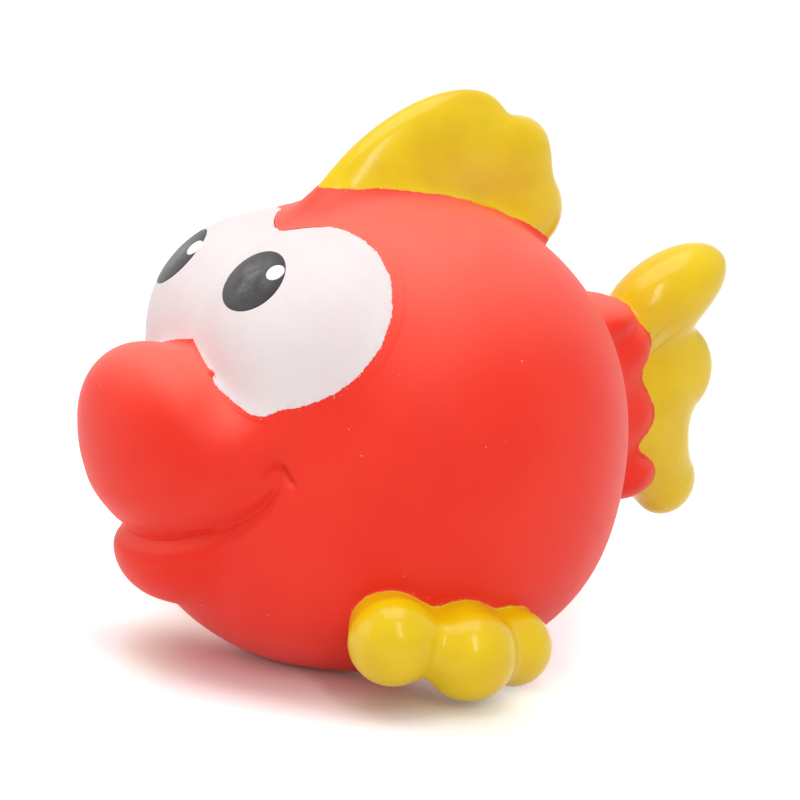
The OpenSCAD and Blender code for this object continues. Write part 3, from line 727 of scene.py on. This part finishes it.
def pupil_links(tree):
    """Dark ink with random paler clouds, kept toward the middle as a painted soft reflection, a few chalk
    specks and a darker edge.
    """
    rim = add(tree, "Attribute", {"attribute_name": "rim"}, out="Fac")
    clouds = grain(tree, 3.2, 4.0, 0.65)
    # The pale clouds fade out toward the rim: partly the ink's own cloudiness, partly a painted soft
    # reflection in the middle.
    fill = mixed(clouds.step(0.30, 0.70) * (1.0 - rim.step(-0.75, -0.05)), INK, PALE_INK_AND_SHEEN)
    edge = rim + (grain(tree, 0.4, 2.0) - 0.5) * 0.03
    fill = mixed(specks(tree, 0.10, 0.8, 0.14) * 0.7, fill, CHALK)
    return {
        "Base Color": mixed(edge.step(-0.10, -0.02), fill, INK_EDGE), "Roughness": 0.34 + 0.14 * clouds,
        "Normal": bumped(tree, grain(tree, 0.5, 3.0), 0.012)}


def glint_links(tree):
    """White ink, a little grey at its rim."""
    rim = add(tree, "Attribute", {"attribute_name": "rim"}, out="Fac")
    return {
        "Base Color": mixed(rim.step(-0.12, 0.0), DOT, DOT_EDGE),
        "Roughness": 0.35 + 0.1 * grain(tree, 0.5, 2.0), "Normal": bumped(tree, grain(tree, 0.3, 2.0), 0.01)}


ink = finish("dark_grey_ink", VINYL, pupil_links)
glint_ink = finish("white_ink", VINYL, glint_links)
for name, (side, look_up, look_out, dot_share) in LOOKS.items():
    look = facing(look_up, look_out, -side * PUPIL_TURN)
    pupil = print_oval(name + "_pupil_print", side, look, PUPIL, lift=0.09, turns=96, rings=24)
    pupil.data.materials.append(ink)
    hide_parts(name + "_pupil")
    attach(pupil, "toy")
    dot_way = look[0] + 2 * (dot_share[0] * PUPIL[0] * look[1] + dot_share[1] * PUPIL[1] * look[2]) / EYE[2]
    dot_axes = bearing(dot_way, (1, 0, 0))
    glint = print_oval(name + "_glint_print", side, dot_axes, GLINT, lift=0.15, turns=48, rings=8)
    glint.data.materials.append(glint_ink)
    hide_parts(name + "_glint")
    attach(glint, "toy")


# Back fin: a thick sail with two round lobes behind, cast with the body and sprayed yellow.
# A fillet joins it to the back, wide at the front; the yellow's lower edge is an arc, seen from the side.
SAIL, SAIL_LEAN = (8.0, 32.6, 17.0), 31.0
SAIL_AT = BODY_AT + (0.0, 2.6, 28.4)
SAIL_LOBE = (6.8, 11.0)
# Places as shares of the sail's length and height: the lobes, with their sizes, and the foot's two ends.
SAIL_LOBES = ((0.49, 0.15, 0.84), (0.52, -0.27, 1.0))
SAIL_FOOT = ((-0.30, -0.25, 0.40), (0.42, -0.42, 0.42))
SAIL_BLEND, SAIL_FLANK, SAIL_FLANK_WIDE = 3.0, 3.0, 3.0
SAIL_FILLET, SAIL_FILLET_MORE, FILLET_AHEAD, FILLET_LONG = 2.4, 3.2, 12.0, 18.0
ARC_MIDDLE, ARC_RADIUS = (-13.0, 3.8), 52.6
YELLOW = tint(0.915, 0.78, 0.01)
YELLOW_DEEP = tint(0.875, 0.725, 0.01)
YELLOW_EDGE = tint(0.94, 0.66, 0.10)
YELLOW_SPECK = tint(0.50, 0.38, 0.12)
GLOSS = {"Specular IOR Level": 0.32, "IOR": 1.5}


def sail_point(s):
    """A place on the sail from its shares."""
    return SAIL_AT + (0.0, s[0] * SAIL[1], s[1] * SAIL[2])


def sail(p):
    """A leaning egg, two round lobes behind and a finger along the foot, folded softly on the flanks."""
    lobes = [
        egg(p, sail_point(s), (SAIL_LOBE[0], s[2] * SAIL_LOBE[1], s[2] * SAIL_LOBE[1])) for s in SAIL_LOBES]
    a, b = SAIL_FOOT
    foot = finger(p, sail_point(a), sail_point(b), a[2] * SAIL[0], b[2] * SAIL[0])
    soft = SAIL_BLEND + SAIL_FLANK * ease(np.abs(p[0]) / SAIL_FLANK_WIDE)
    return join([egg(p, SAIL_AT, SAIL, SAIL_LEAN)] + lobes + [foot], soft)


def sail_fillet(p):
    """The fillet's width: it grows toward the front."""
    return SAIL_FILLET + SAIL_FILLET_MORE * (1.0 - ease((p[1] + FILLET_AHEAD) / FILLET_LONG))


def over_arc(p):
    """How far a point lies outside the arc where the yellow ends, seen from the side."""
    return np.hypot(p[1] - ARC_MIDDLE[0], p[2] - ARC_MIDDLE[1]) - ARC_RADIUS


def yellow_links(tree):
    """Glossy yellow over the red vinyl, thin and orange at its ragged edge."""
    red, red_rough, red_relief = red_vinyl(tree)
    line, share = painted(tree, 0.5, 0.5)
    fill = mixed(grain(tree, 7.0, 3.0).step(0.3, 0.8), YELLOW, YELLOW_DEEP)
    fill = mixed((1.0 - line.step(0.0, 0.35)) * 0.25, fill, YELLOW_EDGE)
    fill = mixed(specks(tree, 0.16, 2.6, 0.10) * 0.7, fill, YELLOW_SPECK)
    rough = red_rough + share * (0.14 + 0.12 * grain(tree, 3.0, 3.0) - red_rough)
    relief = red_relief + share * (0.5 * grain(tree, 1.4, 3.0) + 1.4)
    return {"Base Color": mixed(share, red, fill), "Roughness": rough, "Normal": bumped(tree, relief, 0.03)}


yellow_paint = finish("yellow_paint", GLOSS, yellow_links)


def fin_skin(name, node, start, axes, form, fillet, line, *, long, far, widest, turns, rings):
    """A fin's skin with its fillet, cut off at the eye domes; it is painted where line is positive."""
    def rooted(p):
        return blend(under_eyes(p), form(p), fillet(p))

    def whole(p):
        return blend(rooted(p), domes(p), EYE_BLEND)

    def past_root(p):
        return np.maximum(form(p) - fillet(p), rooted(p) - domes(p))

    piece = patch(
        name, start, axes, whole, skin, past_root,
        long=long, near=0.0, far=far, widest=widest, turns=turns, rings=rings, lift=0.02, sink=0.12,
        marks={"inside": line})
    piece.data.materials.append(yellow_paint)
    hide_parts(node)
    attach(piece, "toy")


fin_skin(
    "back_fin", "dorsal_fin", SAIL_AT + (0.0, SAIL[1] / 5, -0.9 * SAIL[2]), bearing((0, 0, 1), (1, 0, 0)),
    sail, sail_fillet, over_arc, long=3.1, far=65.0, widest=75.0, turns=340, rings=140)


# Tail: three fat lobes, the top one a long finger, cast with the body and sprayed yellow.
# It grows out of the frill, whose scallops stand proud of it.
TAIL_OUT, TAIL_H, TAIL_LOW, TAIL_T = 21.8, 35.5, 8.6, 10.0
# Places and sizes as shares of the tail's: the tip, and the two ends, radii and thickness of each lobe.
TIP, TIP_LEAN = ((0.552, 0.81), (0.87, 0.28)), 25.0
TAIL_LOBES = (
    ((0.27, 0.37), (0.59, 0.525), 0.255, 0.18, 0.8),
    ((0.35, 0.33), (0.56, 0.127), 0.175, 0.127, 0.85))
LOBE_BLEND, TAIL_FLANK, TAIL_FLANK_WIDE, TAIL_FILLET = 3.4, 6.0, 4.0, 0.8
TAIL_BARE, TIP_PAINT, TIP_SLOPE = 0.15, (28.4, 36.0), 3.0


def tail_point(s):
    """A place on the tail from its shares."""
    return 0.0, TAIL_Y + s[0] * TAIL_OUT, TAIL_LOW + s[1] * TAIL_H


def tail(p):
    """A leaning egg on top and two tapered fingers below, flat across the toy."""
    tip = egg(p, tail_point(TIP[0]), (TAIL_T, TIP[1][0] * TAIL_OUT, TIP[1][1] * TAIL_H), TIP_LEAN)
    lobes = [
        finger(p, tail_point(a), tail_point(b), ra * TAIL_H, rb * TAIL_H, 2 * ra * TAIL_H / (thick * TAIL_T))
        for a, b, ra, rb, thick in TAIL_LOBES]
    return join([tip] + lobes, LOBE_BLEND + TAIL_FLANK * ease(np.abs(p[0]) / TAIL_FLANK_WIDE))


def tail_paint(p):
    """Positive where the tail is yellow: clear of the frill, and behind a sloping line at the tip's root."""
    behind_root = p[1] - TIP_PAINT[0] + TIP_SLOPE * np.maximum(TIP_PAINT[1] - p[2], 0.0)
    return np.minimum(skin(p) - TAIL_BARE, behind_root)


fin_skin(
    "tail", "tail_fin", tail_point((-0.10, 0.44)), bearing((0, 1, 0), (1, 0, 0)),
    tail, lambda p: TAIL_FILLET, tail_paint, long=2.5, far=71.0, widest=88.0, turns=320, rings=130)


# Side fins: three fat lobes low on each flank, cast with the body and sprayed yellow.
# The middle lobe reaches furthest down, almost to the floor, and a web joins all three near the body.
FIN_T = 11.2
FIN_AT = np.array([BODY[0] / 2 - 9.0, BODY_AT[1] - 21.4, 0.4])
FIN_SIZE = np.array([14.8, 26.0, FIN_T])
# Each lobe's two ends as shares of the fin's size, and their radii as shares of its thickness.
FIN_LOBES = (
    ((0.05, 0.30, 0.81), (0.46, 0.21, 0.72), 0.36, 0.48),
    ((0.05, 0.61, 0.72), (0.62, 0.55, 0.50), 0.38, 0.50),
    ((0.05, 0.80, 0.63), (0.46, 0.84, 0.41), 0.34, 0.42))
FIN_BLEND, FIN_WEB, FIN_WEB_AT, FIN_WEB_LONG = 3.5, 6.0, 29.0, 5.0
FIN_FILLET, FIN_BARE = 0.9, 0.2


def side_fin(p):
    """Three tapered fingers side by side."""
    lobes = [
        finger(fold(p), FIN_AT + FIN_SIZE * a, FIN_AT + FIN_SIZE * b, ra * FIN_T, rb * FIN_T)
        for a, b, ra, rb in FIN_LOBES]
    return join(lobes, FIN_BLEND + FIN_WEB * ease((FIN_WEB_AT - np.abs(p[0])) / FIN_WEB_LONG))


for side, name in ((1, "left"), (-1, "right")):
    fin_start = (FIN_AT + (0.0, FIN_SIZE[1] / 2, 0.8 * FIN_T)) * (side, 1, 1)
    fin_skin(
        name + "_side_fin", name + "_pectoral_fin", fin_start, mirrored(bearing((1, 0, 0), (0, 0, 1)), side),
        side_fin, lambda p: FIN_FILLET, lambda p: skin(p) - FIN_BARE,
        long=1.5, far=52.0, widest=85.0, turns=300, rings=90)


# Squeaker: a hard ivory plug pressed into the belly, with a reed clamped in its tube.
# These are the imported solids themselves, moulded in plain plastic, slightly cloudy and scuffed.
IVORY = tint(0.90, 0.885, 0.83)
IVORY_WARM = tint(0.86, 0.83, 0.75)
REED_PALE = tint(0.84, 0.84, 0.80)
REED_GREY = tint(0.78, 0.79, 0.76)
SCUFF_TURN, SCUFF_STRETCH = (0.3, 0.2, 0.1), (1.0, 6.0, 1.0)


def ivory_links(tree):
    """Cloudy ivory with fine scuffs that run one way."""
    clouds = grain(tree, 4.0, 3.0)
    scuffs = grain(tree, 0.6, 3.0, 0.6, (SCUFF_TURN, SCUFF_STRETCH))
    return {
        "Base Color": mixed(clouds, IVORY, IVORY_WARM), "Roughness": 0.34 + 0.2 * scuffs,
        "Normal": bumped(tree, scuffs, 0.01)}


def reed_links(tree):
    """A smooth, pale, slightly cloudy strip."""
    clouds = grain(tree, 1.5, 3.0)
    return {
        "Base Color": mixed(clouds, REED_PALE, REED_GREY), "Roughness": 0.22 + 0.1 * clouds,
        "Normal": bumped(tree, clouds, 0.004)}


ivory = finish("ivory_plastic", {"Specular IOR Level": 0.5, "IOR": 1.49}, ivory_links)
reed_film = finish("reed_film", {"Specular IOR Level": 0.5, "IOR": 1.58}, reed_links)
for name in ("squeaker_plug", "reed_seat", "reed", "reed_wedge"):
    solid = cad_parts[name]
    solid.data.materials.clear()
    solid.data.materials.append(reed_film if name == "reed" else ivory)
